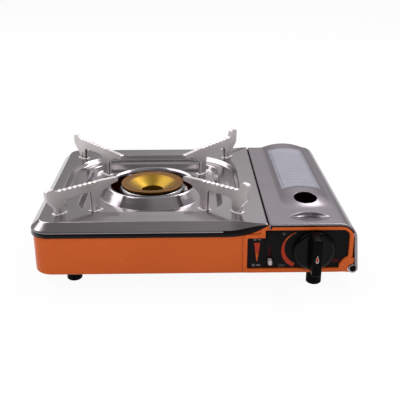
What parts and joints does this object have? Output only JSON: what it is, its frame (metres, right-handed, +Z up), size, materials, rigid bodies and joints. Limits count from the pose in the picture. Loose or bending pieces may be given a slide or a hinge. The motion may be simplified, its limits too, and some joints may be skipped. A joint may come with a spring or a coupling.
{
  "type": "butane cassette stove",
  "caption": "Tabletop gas stove with a burner, pan supports and drip basin, and a hinged lid over its cartridge bay, with knob and locking lever.",
  "frame": {"origin": "bottom centre of the bounding box, on the table", "axes": "+X from the burner to the cartridge bay, +Y to the back, +Z up"},
  "size_m": [0.3476, 0.2902, 0.1088],
  "materials": {
    "orange_enamel": "gloss enamel on pressed steel",
    "polished_steel": "bright rolled stainless sheet",
    "support_steel": "satin stainless",
    "zinc_steel": "zinc-plated steel",
    "brass": "satin brass",
    "black_panel": "satin black paint",
    "black_knob": "moulded black plastic",
    "red_lever": "moulded red plastic with a pale tip",
    "black_oxide": "blackened steel",
    "die_cast": "as-cast alloy",
    "ceramic": "white glazed ceramic",
    "igniter_plastic": "moulded black plastic",
    "lead_sleeve": "pale silicone sleeve",
    "label_plate": "pale printed plate, left without words",
    "seal_rubber": "black rubber",
    "foot_rubber": "black rubber"
  },
  "bodies": {
    "stove": {"base_case": "orange_enamel", "top_plate": "polished_steel", "pan_support_front_left": "support_steel", "pan_support_front_right": "support_steel", "pan_support_back_left": "support_steel", "pan_support_back_right": "support_steel", "burner_head": "brass", "burner_bowl": "zinc_steel", "burner_bracket": "zinc_steel", "burner_screws": "zinc_steel", "base_screws": "zinc_steel", "electrode_insulator": "ceramic", "electrode_wire": "zinc_steel", "ignition_lead": "lead_sleeve", "piezo_igniter": "igniter_plastic", "regulator_body": "die_cast", "regulator_diaphragm": "seal_rubber", "regulator_cap": "die_cast", "regulator_screws": "zinc_steel", "inlet_seal": "seal_rubber", "regulator_bracket": "zinc_steel", "cartridge_key": "zinc_steel", "cartridge_cradle": "zinc_steel", "gas_pipe": "zinc_steel", "gas_nozzle": "brass", "venturi": "zinc_steel", "mixing_tube": "zinc_steel", "partition": "zinc_steel", "plate_screws": "zinc_steel", "lid_catch": "zinc_steel", "control_panel": "black_panel", "panel_screws": "zinc_steel", "lever_guide": "zinc_steel", "hinge_pin": "black_oxide", "hinge_bracket_front": "zinc_steel", "hinge_bracket_back": "zinc_steel", "hinge_screws": "zinc_steel", "foot_front_left": "foot_rubber", "foot_front_right": "foot_rubber", "foot_back_left": "foot_rubber", "foot_back_right": "foot_rubber", "foot_screws": "zinc_steel"},
    "lid_body": {"lid": "polished_steel", "lid_label": "label_plate"},
    "knob_body": {"knob": "black_knob", "valve_stem": "zinc_steel"},
    "plunger": {"igniter_plunger": "zinc_steel"},
    "lever": {"locking_lever": "red_lever"},
    "clamp": {"cartridge_clamp": "zinc_steel"}
  },
  "joints": [
    {"name": "lid_hinge", "type": "hinge", "parent": "stove", "child": "lid_body", "pos_m": [0.1685, 0.0109, 0.0198], "axis": [0, 1, 0], "range_deg": [0, 100]},
    {"name": "knob_turn", "type": "hinge", "parent": "stove", "child": "knob_body", "pos_m": [0.1252, -0.1291, 0.0422], "axis": [0, -1, 0], "range_deg": [0, 135]},
    {"name": "igniter_push", "type": "slide", "parent": "stove", "child": "plunger", "axis": [-1, 0, 0], "range_m": [0, 0.0056]},
    {"name": "lever_slide", "type": "slide", "parent": "stove", "child": "lever", "axis": [0, 0, 1], "range_m": [0, 0.015]},
    {"name": "clamp_slide", "type": "slide", "parent": "stove", "child": "clamp", "axis": [0, 1, 0], "range_m": [0, 0.004]}
  ],
  "couplings": [
    {"joint": "igniter_push", "follows": "knob_turn", "m_per_rad": 0.002376},
    {"joint": "clamp_slide", "follows": "lever_slide", "ratio": 0.26666}
  ]
}
